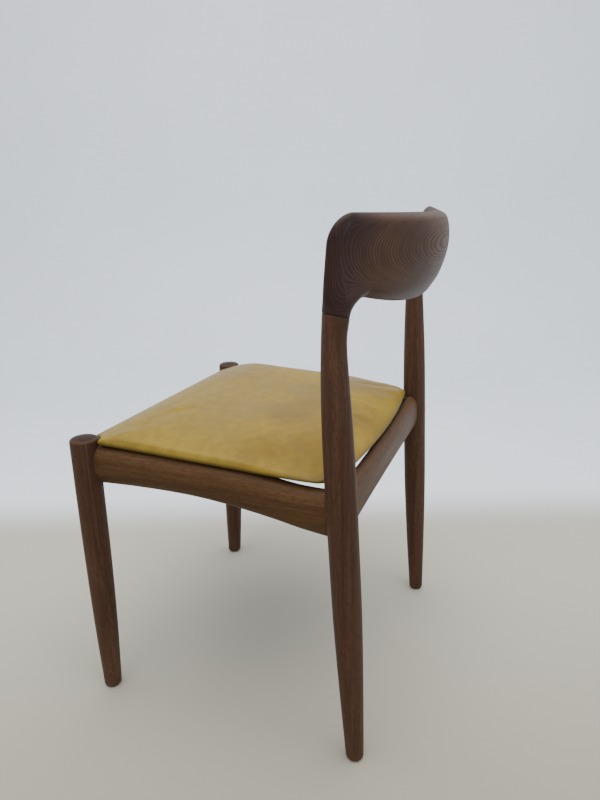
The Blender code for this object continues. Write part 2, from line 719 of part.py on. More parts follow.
def make_bracing(groups, rails, finishes):
    """Corner blocks with their screws, and the crossbar under the seat."""
    parts, cutters = groups["parts"], groups["cutters"]
    blocks = {}
    corners = (
        ("front", FRONT_RAIL_INNER_Y, 1, FRONT_BLOCK_TOP),
        ("rear", BACK_RAIL_INNER_Y, -1, REAR_BLOCK_TOP),
    )
    for place, corner_y, inward, top in corners:
        rail = rails["front" if place == "front" else "back"]
        z = top - BLOCK_HEIGHT / 2
        for side, label in SIDE_NAMES.items():
            block = corner_block(place, side, corner_y, inward, top, parts, finishes["beech"])
            blocks[place, side] = block
            near = SIDE_RAIL_INNER_X - BLOCK_SCREW_DEPTH
            head = (side * near, corner_y + inward * BLOCK_SCREW_REACH, z + BLOCK_SCREW_RISE)
            screw(
                f"block_screw_side_{place}_{label}", head, (side, 0, 0), BLOCK_SCREW_LENGTH,
                (block, rails["side", side]), groups, finishes["steel"],
            )
            near = SIDE_RAIL_INNER_X - BLOCK_SCREW_REACH
            head = (side * near, corner_y + inward * BLOCK_SCREW_DEPTH, z - BLOCK_SCREW_RISE)
            screw(
                f"block_screw_cross_{place}_{label}", head, (0, -inward, 0), BLOCK_SCREW_LENGTH,
                (block, rail), groups, finishes["steel"],
            )
    top = seat_z(CROSSBAR_Y + CROSSBAR_WIDTH / 2, -CROSSBAR_DROP)
    end = SIDE_RAIL_INNER_X - GAP
    low = (-end, CROSSBAR_Y - CROSSBAR_WIDTH / 2, top - CROSSBAR_HEIGHT)
    high = (end, CROSSBAR_Y + CROSSBAR_WIDTH / 2, top)
    crossbar = box("seat_crossbar", low, high, parts, finishes["beech"])
    middle = top - CROSSBAR_HEIGHT / 2 - CROSSBAR_TENON_DROP
    reach = SIDE_RAIL_INNER_X + CROSSBAR_TENON
    low = (-reach, CROSSBAR_Y - CROSSBAR_TENON_WIDTH / 2, middle - CROSSBAR_TENON_HEIGHT / 2)
    high = (reach, CROSSBAR_Y + CROSSBAR_TENON_WIDTH / 2, middle + CROSSBAR_TENON_HEIGHT / 2)
    cut(crossbar, box("crossbar_tenons", low, high, cutters), "UNION")
    slot = box("crossbar_mortises", *tenon_box(low, high, GAP), cutters)
    for side in SIDE_NAMES:
        cut(rails["side", side], slot)
    return blocks, crossbar


def make_seat(groups, blocks, crossbar, finishes):
    """The board, foam, leather cover and dust cover of the seat, and the screws that hold it."""
    parts, cutters = groups["parts"], groups["cutters"]
    board_low = LEATHER + GAP
    board_top = board_low + BOARD_THICKNESS
    board = seat_plate("seat_board", BOARD_INSET, board_low, board_top, parts, finishes["plywood"])
    clear_of_legs(board, "board", SEAT_LEG_CLEARANCE + BOARD_INSET[0], cutters)

    foam = seat_slab("seat_foam", FOAM_INSET, board_low, FOAM_DROP, parts, finishes["foam"])
    clear_of_legs(foam, "foam", SEAT_LEG_CLEARANCE + FOAM_INSET[0], cutters)
    cut(foam, seat_plate("board_recess", grown(BOARD_INSET, GAP), -board_top, board_top + GAP, cutters))

    cover = seat_slab("seat_cover", (0.0, 0.0), 0.0, 0.0, parts, finishes["leather"])
    clear_of_legs(cover, "cover", SEAT_LEG_CLEARANCE, cutters)
    core = seat_slab("cover_core", CORE_INSET, LEATHER, LEATHER, cutters)
    clear_of_legs(core, "core", SEAT_LEG_CLEARANCE + LEATHER, cutters)
    cut(cover, core)
    cut(cover, seat_plate("cover_opening", OPENING_INSET, -board_top, board_top, cutters))
    dust = seat_plate(
        "dust_cover", grown(OPENING_INSET, -GAP), LEATHER - DUST_COVER_THICKNESS, LEATHER,
        parts, finishes["cloth"],
    )

    screws = []
    for side, label in SIDE_NAMES.items():
        x, y = SIDE_RAIL_INNER_X - SEAT_SCREW_INSET, FRONT_RAIL_INNER_Y + SEAT_SCREW_INSET
        through = (blocks["front", side], board, cover)
        screws.append((f"seat_screw_front_{label}", side * x, y, through))
        through = (crossbar, board, dust)
        screws.append((f"seat_screw_rear_{label}", side * SEAT_SCREW_X, CROSSBAR_Y, through))
    for name, x, y, through in screws:
        tip = seat_z(y, board_top - SEAT_SCREW_COVER)
        head = (x, y, tip - SEAT_SCREW_LENGTH)
        screw(name, head, (0, 0, 1), SEAT_SCREW_LENGTH, through, groups, finishes["steel"])


def main():
    clear_scene()
    groups = {"parts": collection("dining_chair"), "cutters": collection("cutters", hidden=True)}
    finishes = {
        "leg": material("walnut_leg", WALNUT, 0.42),
        "rail": material("walnut_rail", WALNUT, 0.45),
        "backrest": material("carved_backrest", ROSEWOOD, 0.40),
        "beech": material("beech", BEECH, 0.60),
        "steel": material("zinc_screw", STEEL, 0.35, 1.0),
        "leather": material("mustard_leather", MUSTARD, 0.50),
        "foam": material("seat_foam", FOAM, 0.90),
        "plywood": material("plywood", PLYWOOD, 0.65),
        "cloth": material("black_cloth", BLACK_CLOTH, 0.90),
    }
    rails = make_frame(groups, finishes)
    blocks, crossbar = make_bracing(groups, rails, finishes)
    make_seat(groups, blocks, crossbar, finishes)


main()
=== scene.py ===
"""Dining chair: the visible pieces and their materials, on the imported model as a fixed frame."""

import math

import bpy
import numpy as np
from mathutils import Matrix, Vector


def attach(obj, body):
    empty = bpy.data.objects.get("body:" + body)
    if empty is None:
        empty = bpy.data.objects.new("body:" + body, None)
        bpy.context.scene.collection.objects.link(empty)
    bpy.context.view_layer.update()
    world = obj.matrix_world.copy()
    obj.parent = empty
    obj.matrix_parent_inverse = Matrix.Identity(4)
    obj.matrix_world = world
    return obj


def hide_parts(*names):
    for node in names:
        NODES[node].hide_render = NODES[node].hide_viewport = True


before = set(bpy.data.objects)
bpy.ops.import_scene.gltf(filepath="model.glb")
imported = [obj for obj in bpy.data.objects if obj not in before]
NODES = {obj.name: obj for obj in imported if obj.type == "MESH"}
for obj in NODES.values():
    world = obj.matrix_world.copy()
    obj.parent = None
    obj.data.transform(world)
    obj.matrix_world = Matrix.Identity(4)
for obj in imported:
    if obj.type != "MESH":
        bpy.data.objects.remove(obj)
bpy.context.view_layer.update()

# ---------------------------------------------------------------- dimensions, in metres

# Legs: height, x, y and radius.
FRONT_LEG = (
    (0.0000, 0.2296, -0.2392, 0.0141),
    (0.1200, 0.2307, -0.2359, 0.0182),
    (0.2400, 0.2315, -0.2332, 0.0203),
    (0.3600, 0.2325, -0.2308, 0.0210),
    (0.4600, 0.2336, -0.2283, 0.0212),
)
REAR_LEG = (
    (0.0000, 0.2268, 0.1973, 0.0132),
    (0.1200, 0.2278, 0.1916, 0.0173),
    (0.2400, 0.2291, 0.1860, 0.0203),
    (0.3600, 0.2312, 0.1806, 0.0208),
    (0.4400, 0.2327, 0.1770, 0.0209),
    (0.5200, 0.2349, 0.1736, 0.0197),
    (0.5900, 0.2364, 0.1707, 0.0173),
    (0.6350, 0.2358, 0.1697, 0.0156),
    (0.6637, 0.2347, 0.1717, 0.0165),
)
FOOT_ROUNDING = 0.007
LEG_TOP_ROUNDING = 0.0045
LEG_TOP_DOME = 0.002
JOINT_EDGE = 0.0005  # the eased edge on both sides of the backrest's joint
JOINT_TILT_REACH = 0.04  # how far below the joint a rear leg's rings start to tilt to its plane
FOOT_CENTRE_RADIUS = 0.002  # the innermost ring under a foot
# Rings on a leg's flat ends, as shares of the radius.
DOME_RINGS = (0.85, 0.7, 0.5, 0.3, 0.1)
JOINT_RINGS = (0.7, 0.2)

# Rails: position along, height of the upper edge, height of the lower edge.
SIDE_RAIL = (
    (-0.230, 0.4498, 0.3815),
    (-0.140, 0.4474, 0.3862),
    (-0.060, 0.4448, 0.3870),
    (0.000, 0.4429, 0.3830),
    (0.050, 0.4408, 0.3765),
    (0.085, 0.4360, 0.3710),
    (0.120, 0.4318, 0.3645),
    (0.178, 0.4310, 0.3570),
)
BACK_RAIL = ((0.0, 0.4290, 0.3615), (0.12, 0.4295, 0.3608), (0.231, 0.4315, 0.3575))
FRONT_RAIL = ((0.0, 0.4470, 0.3900), (0.12, 0.4475, 0.3870), (0.231, 0.4490, 0.3810))
SIDE_RAIL_INNER_X, SIDE_RAIL_WIDTH = 0.2115, 0.0290
BACK_RAIL_INNER_Y, BACK_RAIL_WIDTH = 0.1640, 0.0244
FRONT_RAIL_INNER_Y, FRONT_RAIL_WIDTH = -0.2136, 0.0290
RAIL_UPPER_ROUNDNESS = 3.0
RAIL_LOWER_ROUNDNESS = 2.2
RAIL_CHAMFER = 0.0015
RAIL_LEDGE = 0.004  # the flat strip of the underside, from the inner face
RAIL_SWELL_ANGLE = 80  # degrees up and down from the outermost line
RAIL_POINT_GAP = 0.001  # the least distance from the swelling's points to the rounding's
RAIL_END_Z = 0.42  # the height at which a rail's ends are measured to the legs' centre lines
# Rounding above a rail's inner face: distance from that face, drop below the upper edge.
RAIL_INNER_ROUNDING = ((0.0095, 0.0004), (0.0060, 0.0020), (0.0025, 0.0048), (0.0, 0.0085))

# Backrest: height, and y of the rear surface on the middle plane.
BACKREST_REAR = (
    (0.645, 0.2395),
    (0.665, 0.2366),
    (0.685, 0.2457),
    (0.705, 0.2533),
    (0.725, 0.2579),
    (0.745, 0.2583),
    (0.760, 0.2554),
    (0.772, 0.2488),
    (0.782, 0.2139),
)
# The joint's plane at a foot's centre, and its rise per metre outwards and backwards.
JOINT_Z = 0.6640
JOINT_RISE = (0.18, -0.15)
FOOT_X, FOOT_Y, FOOT_RADIUS = 0.2347, 0.1717, 0.0165
# The rear and the front surface at the ends, and the front surface on the middle plane: y at
# LEAN_Z, and how it changes with height.
END_REAR_Y, END_REAR_CURVE, END_REAR_X = 0.1892, 2.66, 0.2400
END_FRONT_Y, END_FRONT_LEAN, END_FRONT_CURVE, END_FRONT_X = 0.1677, 0.225, -0.48, 0.2360
MIDDLE_FRONT_Y, MIDDLE_FRONT_LEAN = 0.2172, 0.16
LEAN_Z = 0.710
# The outline: the fillet inside a foot, the lower edge, the upper edge, the outer corner.
FILLET_X, FILLET_Z = 0.2214, 0.6464
LOWER_EDGE_SIDE_X, LOWER_EDGE_SIDE_Z, LOWER_EDGE_MIDDLE_Z = 0.1987, 0.6812, 0.6567
TOP_MIDDLE_Z, TOP_END_Z, TOP_POWER = 0.7750, 0.7795, 1.4
OUTER_X, CORNER_RADIUS = 0.2611, 0.0261
TOP_ROUNDING, LOWER_ROUNDING = 0.0177, 0.0198
BLEND_HEIGHT = 0.025  # over this height a foot turns from round to the shape of the backrest
FOOT_CAP_INSET = 0.8  # how far towards its centre a foot's innermost ring lies

# Seat pad: its outline, and the sloping base plane it lies on.
SEAT_FRONT_Y, SEAT_REAR_Y, SEAT_HALF_WIDTH = -0.2310, 0.1790, 0.2345
SEAT_BASE_Z, SEAT_SLOPE = 0.4434, -0.0327
SEAT_CORNER_RADII = (0.030, 0.030)  # front, rear
# Between these y the sides draw in by a share, and the rear edge's ends move forwards.
SEAT_REAR_SHAPING = (0.060, 0.179)
SEAT_TAPER, SEAT_BOW = 0.036, 0.0158
# y, and the height above the base plane of the crown and of the top's sides.
SEAT_PROFILE = (
    (-0.2310, 0.0035, 0.0030),
    (-0.2206, 0.0088, 0.0050),
    (-0.2100, 0.0145, 0.0080),
    (-0.1900, 0.0245, 0.0125),
    (-0.1700, 0.0310, 0.0150),
    (-0.1500, 0.0345, 0.0160),
    (-0.0200, 0.0325, 0.0145),
    (0.0600, 0.0308, 0.0125),
    (0.1100, 0.0258, 0.0078),
    (0.1500, 0.0145, 0.0042),
    (0.1665, 0.0090, 0.0038),
    (0.1790, 0.0050, 0.0036),
)
SEAT_SIDE_POWER = 4
SEAT_LEG_CLEARANCE = 0.003
# Notches round the legs: where the legs are measured, how soft the edges are, how many times
# that softness they reach, how far round the leg they go, and how much of an inset they follow.
NOTCH_Z, NOTCH_SOFTNESS, NOTCH_REACH = 0.45, 0.004, 6
NOTCH_OPENING, NOTCH_INSET_SHARE = -0.2, 0.8

# The pad's rings, from the opening underneath over the edge to the middle of the top. Under the
# pad: inset at the sides, inset at the front and rear, height above the base plane.
OPENING_INSET = (0.050, 0.062)
OPENING_DEPTH = 0.00165
OPENING_EDGE = (0.0006, 0.0004)  # width and height of the fold's rounded edge
PAD_UNDERSIDE = (
    (*OPENING_INSET, OPENING_DEPTH),
    (*OPENING_INSET, OPENING_EDGE[1]),
    (*(inset - OPENING_EDGE[0] for inset in OPENING_INSET), 0.0),
    (0.030, 0.036, 0.0),
    (0.012, 0.012, 0.0),
    (0.005, 0.005, 0.0),
)
# At the edge: inset all round, share of the top's height.
PAD_EDGE = (
    (0.0022, 0.10),
    (0.0008, 0.28),
    (0.0, 0.50),
    (0.0, 0.72),
    (0.0004, 0.87),
    (0.0015, 0.955),
    (0.0032, 0.99),
)
PAD_TOP_INSETS = (*np.arange(0.006, 0.04, 0.004), *np.linspace(0.044, 0.196, 28))

# The pad as cloth: frames, quality, pressure, every how many points are simulated, and how many
# rings of the edge are held.
PAD_FRAMES, PAD_QUALITY, PAD_PRESSURE = 20, 5, 4.0
PAD_STEP, PAD_EDGE_HELD = 4, 3
# How far a point may move and sink, how much lower the top starts, and at what inset.
PAD_SWELL, PAD_SINK = 0.003, 0.0005
PAD_START, PAD_START_INSET = 0.0012, 0.04

# How finely the skins are divided.
ARC_STEPS = 9
LEG_RINGS, LEG_SIDES = 90, 72
RAIL_RINGS, RAIL_SWELL_STEPS, RAIL_ROUNDING_STEPS = 90, 65, 12
BACKREST_CORNER_RINGS, BACKREST_SPAN_RINGS, BACKREST_SIDES = 56, 90, 128
SEAT_CORNER_STEPS, SEAT_ACROSS_STEPS, SEAT_ALONG_STEPS = 14, 66, 60

SIDES = {"left": 1, "right": -1}


# ---------------------------------------------------------------- shapes


def smooth(knots, at, column=1):
    """Smooth curve through the knots' values of a column, at an array of values of their first."""
    keys = np.array([knot[0] for knot in knots])
    values = np.array([knot[column] for knot in knots])
    at = np.clip(np.asarray(at, float), keys[0], keys[-1])
    i = np.clip(np.searchsorted(keys, at, side="right") - 1, 0, len(keys) - 2)
    low = np.maximum(np.arange(len(keys)) - 1, 0)
    high = np.minimum(np.arange(len(keys)) + 1, len(keys) - 1)
    tangent = (values[high] - values[low]) / (keys[high] - keys[low])
    span = keys[i + 1] - keys[i]
    t = (at - keys[i]) / span
    return (
        (2 * t**3 - 3 * t**2 + 1) * values[i]
        + (t**3 - 2 * t**2 + t) * span * tangent[i]
        + (3 * t**2 - 2 * t**3) * values[i + 1]
        + (t**3 - t**2) * span * tangent[i + 1]
    )


def closed_mesh(name, rings):
    """A closed skin over rings of points, with its faces turned outwards."""
    rows, count = rings.shape[:2]
    index = np.arange(rows * count).reshape(rows, count)
    turned = np.roll(index, -1, axis=1)
    quads = np.stack([index[:-1], turned[:-1], turned[1:], index[1:]], axis=-1).reshape(-1, 4)
    points = rings.reshape(-1, 3)
    a, b, c, d = (points[quads[:, i]] for i in range(4))
    volume = np.einsum("ij,ij->", a, np.cross(b, c) + np.cross(c, d))
    mesh = bpy.data.meshes.new(name)
    faces = quads.tolist() + [index[0, ::-1].tolist(), index[-1].tolist()]
    mesh.from_pydata(points.tolist(), [], faces)
    if volume < 0:
        mesh.flip_normals()
    mesh.shade_smooth()
    return mesh


def piece(name, rings, nodes, finish):
    """A skin over rings of points, shown in place of the CAD nodes."""
    obj = bpy.data.objects.new(name, closed_mesh(name, np.asarray(rings, float)))
    bpy.context.scene.collection.objects.link(obj)
    obj.data.materials.append(finish)
    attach(obj, "root")
    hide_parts(*nodes)
    return obj


def arc(steps):
    """Angles over a quarter turn."""
    return np.linspace(0, math.pi / 2, steps)


def joint_rise(x, y):
    """How far the plane of the backrest's joint lies above JOINT_Z at (x, y)."""
    return JOINT_RISE[0] * (np.abs(x) - FOOT_X) + JOINT_RISE[1] * (y - FOOT_Y)


def leg(name, knots, side, domed, finish):
    """A round leg with a rounded foot, and a domed top or the plane of the backrest's joint."""
    top = knots[-1][0]
    stations = [(0.0, 0.0, FOOT_CENTRE_RADIUS)]  # height for the centre line, height, radius
    foot_radius = smooth(knots, FOOT_ROUNDING, 3)
    for angle in arc(ARC_STEPS)[:-1]:
        z = FOOT_ROUNDING * (1 - math.cos(angle))
        stations.append((z, z, foot_radius - FOOT_ROUNDING * (1 - math.sin(angle))))
    end = top - (LEG_TOP_ROUNDING if domed else 2 * JOINT_EDGE)
    for z in np.linspace(FOOT_ROUNDING, end, LEG_RINGS):
        stations.append((z, z, float(smooth(knots, z, 3))))
    radius = float(smooth(knots, end, 3))
    if domed:
        for angle in arc(ARC_STEPS)[1:]:
            z = end + LEG_TOP_ROUNDING * math.sin(angle)
            stations.append((z, z, radius - LEG_TOP_ROUNDING * (1 - math.cos(angle))))
        flat = stations[-1][2]
        for share in DOME_RINGS:
            stations.append((top, top + LEG_TOP_DOME * (1 - share**2), flat * share))
    else:
        stations += [(top, top - JOINT_EDGE, radius), (top, top, radius - JOINT_EDGE)]
        stations += [(top, top, radius * share) for share in JOINT_RINGS]
    turn = np.linspace(0, 2 * math.pi, LEG_SIDES, endpoint=False)
    rings = []
    for middle, z, r in stations:
        x = side * smooth(knots, middle, 1) + r * np.cos(turn)
        y = smooth(knots, middle, 2) + r * np.sin(turn)
        tilt = 0 if domed else max(0.0, 1 - (top - z) / JOINT_TILT_REACH)
        rings.append(np.stack([x, y, z + tilt * joint_rise(x, y)], axis=1))
    return piece(f"fine_{name}", rings, [name], finish)


def rail_section(width, low, high):
    """(distance from the inner face, z) round a rail: flat on the inside, swelling outside."""
    half, middle = (high - low) / 2, (high + low) / 2
    angle = np.radians(np.linspace(-RAIL_SWELL_ANGLE, RAIL_SWELL_ANGLE, RAIL_SWELL_STEPS))
    power = np.where(angle > 0, 2 / RAIL_UPPER_ROUNDNESS, 2 / RAIL_LOWER_ROUNDNESS)
    across = width * np.cos(angle) ** power
    rounding_start = RAIL_INNER_ROUNDING[0][0]
    keep = (angle < 0) | (across > rounding_start + RAIL_POINT_GAP)
    up = middle + half * np.sign(angle) * np.abs(np.sin(angle)) ** power
    inner = [(0.0, low + RAIL_CHAMFER), (RAIL_CHAMFER, low), (RAIL_LEDGE, low)]
    knots = [(distance, high - drop) for distance, drop in reversed(RAIL_INNER_ROUNDING)]
    places = np.linspace(rounding_start, 0.0, RAIL_ROUNDING_STEPS)
    rounding = list(zip(places, smooth(knots, places)))
    return np.array(inner + list(zip(across[keep], up[keep])) + rounding)


def side_rail(label, side, finish):
    """A rail between the front and the rear leg of one side."""
    front = smooth(FRONT_LEG, RAIL_END_Z, 2)
    rear = smooth(REAR_LEG, RAIL_END_Z, 2)
    rings = []
    for y in np.linspace(front, rear, RAIL_RINGS):
        low, high = smooth(SIDE_RAIL, y, 2), smooth(SIDE_RAIL, y, 1)
        across, z = rail_section(SIDE_RAIL_WIDTH, low, high).T
        rings.append(np.stack([side * (SIDE_RAIL_INNER_X + across), np.full_like(z, y), z], axis=1))
    return piece(f"fine_side_rail_{label}", rings, [f"side_rail_{label}"], finish)


def cross_rail(name, knots, inner_y, width, outward, leg_knots, finish):
    """A rail between the two front or the two rear legs, swelling outwards."""
    reach = float(smooth(leg_knots, RAIL_END_Z, 1))
    rings = []
    for x in np.linspace(-reach, reach, RAIL_RINGS):
        low, high = smooth(knots, abs(x), 2), smooth(knots, abs(x), 1)
        across, z = rail_section(width, low, high).T
        rings.append(np.stack([np.full_like(z, x), inner_y + outward * across, z], axis=1))
    return piece(f"fine_{name}", rings, [name], finish)


def backrest_outline():
    """Points (x, z) of the lower and of the upper outline, from a foot to the middle."""
    rise = LOWER_EDGE_SIDE_Z - FILLET_Z
    start = math.asin((JOINT_Z - FILLET_Z) / rise)
    angle = np.linspace(start, math.pi / 2, BACKREST_CORNER_RINGS)
    lower = [
        np.stack([
            FILLET_X - (FILLET_X - LOWER_EDGE_SIDE_X) * (1 - np.cos(angle)),
            FILLET_Z + rise * np.sin(angle),
        ], axis=1)
    ]
    corner_z = TOP_END_Z - CORNER_RADIUS
    straight = BACKREST_CORNER_RINGS // 2
    up = np.linspace(0, 1, straight)
    foot = FOOT_X + FOOT_RADIUS
    upper = [np.stack([foot + (OUTER_X - foot) * up, JOINT_Z + (corner_z - JOINT_Z) * up], axis=1)]
    turn = np.linspace(0, math.pi / 2, BACKREST_CORNER_RINGS - straight + 1)[1:]
    upper.append(np.stack([
        OUTER_X - CORNER_RADIUS * (1 - np.cos(turn)), corner_z + CORNER_RADIUS * np.sin(turn),
    ], axis=1))
    left = np.linspace(1, 0, BACKREST_SPAN_RINGS + 1)[1:]
    rise = LOWER_EDGE_SIDE_Z - LOWER_EDGE_MIDDLE_Z
    lower.append(np.stack([LOWER_EDGE_SIDE_X * left, LOWER_EDGE_MIDDLE_Z + rise * left**2], axis=1))
    rise = TOP_END_Z - TOP_MIDDLE_Z
    upper.append(np.stack([
        (OUTER_X - CORNER_RADIUS) * left, TOP_MIDDLE_Z + rise * left**TOP_POWER,
    ], axis=1))
    return np.concatenate(lower), np.concatenate(upper)


def backrest_faces(x, z):
    """y of the rear and of the front surface at (x, z), before the edges are rounded."""
    lean = z - LEAN_Z
    rear = smooth(BACKREST_REAR, z)
    rear = rear - (rear - END_REAR_Y - END_REAR_CURVE * lean**2) * (x / END_REAR_X) ** 2
    end = END_FRONT_Y + END_FRONT_LEAN * lean + END_FRONT_CURVE * np.maximum(lean, 0) ** 2
    front = MIDDLE_FRONT_Y + MIDDLE_FRONT_LEAN * lean
    front = front - (front - end) * (x / END_FRONT_X) ** 2
    return rear, front


def edge_fullness(distance, rounding):
    """Share of the full thickness at a distance from a rounded edge."""
    left = 1 - np.minimum(distance / rounding, 1.0)
    return np.sqrt(1 - left * left)


def backrest(finish):
    """The carved backrest: sections from one foot over the middle to the other foot."""
    angle = np.linspace(0, 2 * math.pi, BACKREST_SIDES, endpoint=False)
    part = (1 - np.cos(angle)) / 2
    half = []
    for low, high in zip(*backrest_outline()):
        length = math.dist(low, high)
        x = low[0] + (high[0] - low[0]) * part
        z = low[1] + (high[1] - low[1]) * part
        rear, front = backrest_faces(x, z)
        middle = (rear + front) / 2
        full = np.minimum(
            edge_fullness(part * length, min(LOWER_ROUNDING, length / 2)),
            edge_fullness((1 - part) * length, min(TOP_ROUNDING, length / 2)),
        )
        y = middle + (np.where(angle < math.pi, rear, front) - middle) * full
        blend = np.where(x > LOWER_EDGE_SIDE_X, np.clip(1 - (z - JOINT_Z) / BLEND_HEIGHT, 0, 1), 0)
        blend = blend * blend * (3 - 2 * blend)
        x = x + blend * (FOOT_X - FOOT_RADIUS * np.cos(angle) - x)
        y = y + blend * (FOOT_Y + FOOT_RADIUS * np.sin(angle) - y)
        half.append(np.stack([x, y, z + blend * joint_rise(x, y)], axis=1))
    foot = half[0]
    centre = foot.mean(axis=0)
    ends = []
    for inset, drop in ((FOOT_CAP_INSET, 0.0), (JOINT_EDGE / FOOT_RADIUS, 0.0), (0.0, JOINT_EDGE)):
        ends.append(foot + (centre - foot) * inset + np.array([0, 0, drop]))
    half = ends + half[1:]
    other = [ring * [-1, 1, 1] for ring in reversed(half[:-1])]
    return piece("fine_backrest", half + other, ["backrest"], finish)


def seat_outline(side, end):
    """The pad's outline moved inwards: by side at its sides and by end at its front and rear."""
    half = SEAT_HALF_WIDTH - side
    front, rear = SEAT_FRONT_Y + end, SEAT_REAR_Y - end
    near, far = (max(radius - (side + end) / 2, radius / 3) for radius in SEAT_CORNER_RADII)
    corners = (
        (half - far, rear - far, far, 0),
        (far - half, rear - far, far, 90),
        (near - half, front + near, near, 180),
        (half - near, front + near, near, 270),
    )
    arcs = []
    for x, y, radius, start in corners:
        angle = np.radians(start + np.linspace(0, 90, SEAT_CORNER_STEPS))
        arcs.append(np.stack([x + radius * np.cos(angle), y + radius * np.sin(angle)], axis=1))
    outline = []
    for i, count in enumerate((SEAT_ACROSS_STEPS, SEAT_ALONG_STEPS) * 2):
        first, last = arcs[i][-1], arcs[(i + 1) % 4][0]
        along = np.linspace(0, 1, count + 2)[1:-1, None]
        outline += [arcs[i], first + (last - first) * along]
    x, y = np.concatenate(outline).T
    straight_end, rearmost = SEAT_REAR_SHAPING
    share = np.clip((y - straight_end) / (rearmost - straight_end), 0, 1) ** 2
    bowed = y - SEAT_BOW * share * (x / SEAT_HALF_WIDTH) ** 2
    return np.stack([x * (1 - SEAT_TAPER * share), bowed], axis=1)


def seat_top(x, y):
    """Height of the pad's top above its base plane: the crown, falling off towards the sides."""
    crown, side = smooth(SEAT_PROFILE, y, 1), smooth(SEAT_PROFILE, y, 2)
    return side + (crown - side) * (1 - np.abs(x / SEAT_HALF_WIDTH) ** SEAT_SIDE_POWER)


def clear_of_legs(points, inset):
    """Pushes the points that lie in the legs' notches out to the notches' softened edges."""
    for knots in (FRONT_LEG, REAR_LEG):
        for side in SIDES.values():
            x, y, radius = (float(smooth(knots, NOTCH_Z, column)) for column in (1, 2, 3))
            centre = np.array([side * x, y])
            radius = radius + SEAT_LEG_CLEARANCE + inset
            away = points - centre
            distance = np.linalg.norm(away, axis=1)
            direction = away / distance[:, None]
            inwards = np.array([-side, 1.0 if knots is FRONT_LEG else -1.0]) / math.sqrt(2)
            gap = distance - radius
            pushed = radius + (gap + np.sqrt(gap**2 + NOTCH_SOFTNESS**2)) / 2
            near = gap < NOTCH_REACH * NOTCH_SOFTNESS
            near &= direction @ inwards > NOTCH_OPENING
            points[near] = centre + direction[near] * pushed[near, None]
    return points


def swell(rings, held):
    """The rings after their skin has swollen as cloth under pressure; the first held rings stay."""
    coarse = rings[:, ::PAD_STEP]
    rows, count = coarse.shape[:2]
    skin = bpy.data.objects.new("swelling_skin", closed_mesh("swelling_skin", coarse))
    scene = bpy.context.scene
    scene.collection.objects.link(skin)
    group = skin.vertex_groups.new(name="held")
    group.add(list(range(held * count)), 1.0, "REPLACE")
    cloth = skin.modifiers.new("swell", "CLOTH")
    cloth.settings.quality = PAD_QUALITY
    cloth.settings.vertex_group_mass = group.name
    cloth.settings.use_pressure = True
    cloth.settings.uniform_pressure_force = PAD_PRESSURE
    cloth.settings.effector_weights.gravity = 0
    cloth.point_cache.frame_end = PAD_FRAMES
    for number in range(1, PAD_FRAMES + 1):
        scene.frame_set(number)
    after = np.empty(rows * count * 3)
    done = skin.evaluated_get(bpy.context.evaluated_depsgraph_get())
    done.data.vertices.foreach_get("co", after)
    scene.frame_set(1)
    bpy.data.objects.remove(skin, do_unlink=True)
    move = after.reshape(rows, count, 3) - coarse
    length = np.linalg.norm(move, axis=2, keepdims=True)
    move *= PAD_SWELL * np.tanh(length / PAD_SWELL) / np.maximum(length, 1e-9)
    move[:, :, 2] = np.maximum(move[:, :, 2], -PAD_SINK)
    move = np.concatenate([move, move[:, :1]], axis=1)
    knots = np.arange(count + 1) * PAD_STEP
    at = np.arange(rings.shape[1])
    fine = [[np.interp(at, knots, row[:, axis]) for axis in range(3)] for row in move]
    return rings + np.array(fine).transpose(0, 2, 1)


def seat_pad(finish):
    """The pad: a crowned skin with a fold round the opening underneath, notched round the legs."""
    rings = []
    for side, end, above in PAD_UNDERSIDE:
        points = clear_of_legs(seat_outline(side, end), side * NOTCH_INSET_SHARE)
        rings.append((points, np.full(len(points), above)))
    for inset, share in (*PAD_EDGE, *((inset, 1.0) for inset in PAD_TOP_INSETS)):
        points = clear_of_legs(seat_outline(inset, inset), inset * NOTCH_INSET_SHARE)
        lowered = PAD_START * min(1.0, inset / PAD_START_INSET)
        rings.append((points, share * seat_top(*points.T) - lowered))
    rings = np.array([
        np.column_stack([points, SEAT_BASE_Z + SEAT_SLOPE * points[:, 1] + above])
        for points, above in rings
    ])
    rings = swell(rings, len(PAD_UNDERSIDE) + PAD_EDGE_HELD)
    pad = piece("seat_pad", rings, ["seat_cover"], finish)
    return pad


# ---------------------------------------------------------------- materials

# Walnut: the darker bands, the ground and the lighter streaks.
WALNUT = ((0.052, 0.0240, 0.0145), (0.090, 0.0435, 0.0260), (0.132, 0.070, 0.042))
RAIL_WALNUT = ((0.062, 0.0295, 0.0140), (0.110, 0.056, 0.0225), (0.152, 0.086, 0.037))
# The front legs' tops show end grain, which comes in over these heights and these y.
END_GRAIN_Z, END_GRAIN_Y = (0.4592, 0.4606), (-0.1, -0.2)
# The carved backrest's wood.
DARK_LINE = (0.030, 0.0150, 0.0110)
DARK_GROUND, PALE_GROUND = (0.072, 0.0365, 0.0225), (0.122, 0.0680, 0.0380)
PALE_BAND = (0.148, 0.0900, 0.0540)
SHADED_END = (0.034, 0.0195, 0.0215)
# Its growth layers: the height they bend round, how much they bend, their thickness, how far
# they drift, and from what x to what x the bend and the ends' shade change.
RING_CENTRE_Z, RING_BEND, RING_DEPTH, RING_DRIFT = 0.733, 14.0, 0.0025, 0.0110
RING_STRAIGHT_X, SHADED_X = (0.262, 0.222), (0.170, 0.250)
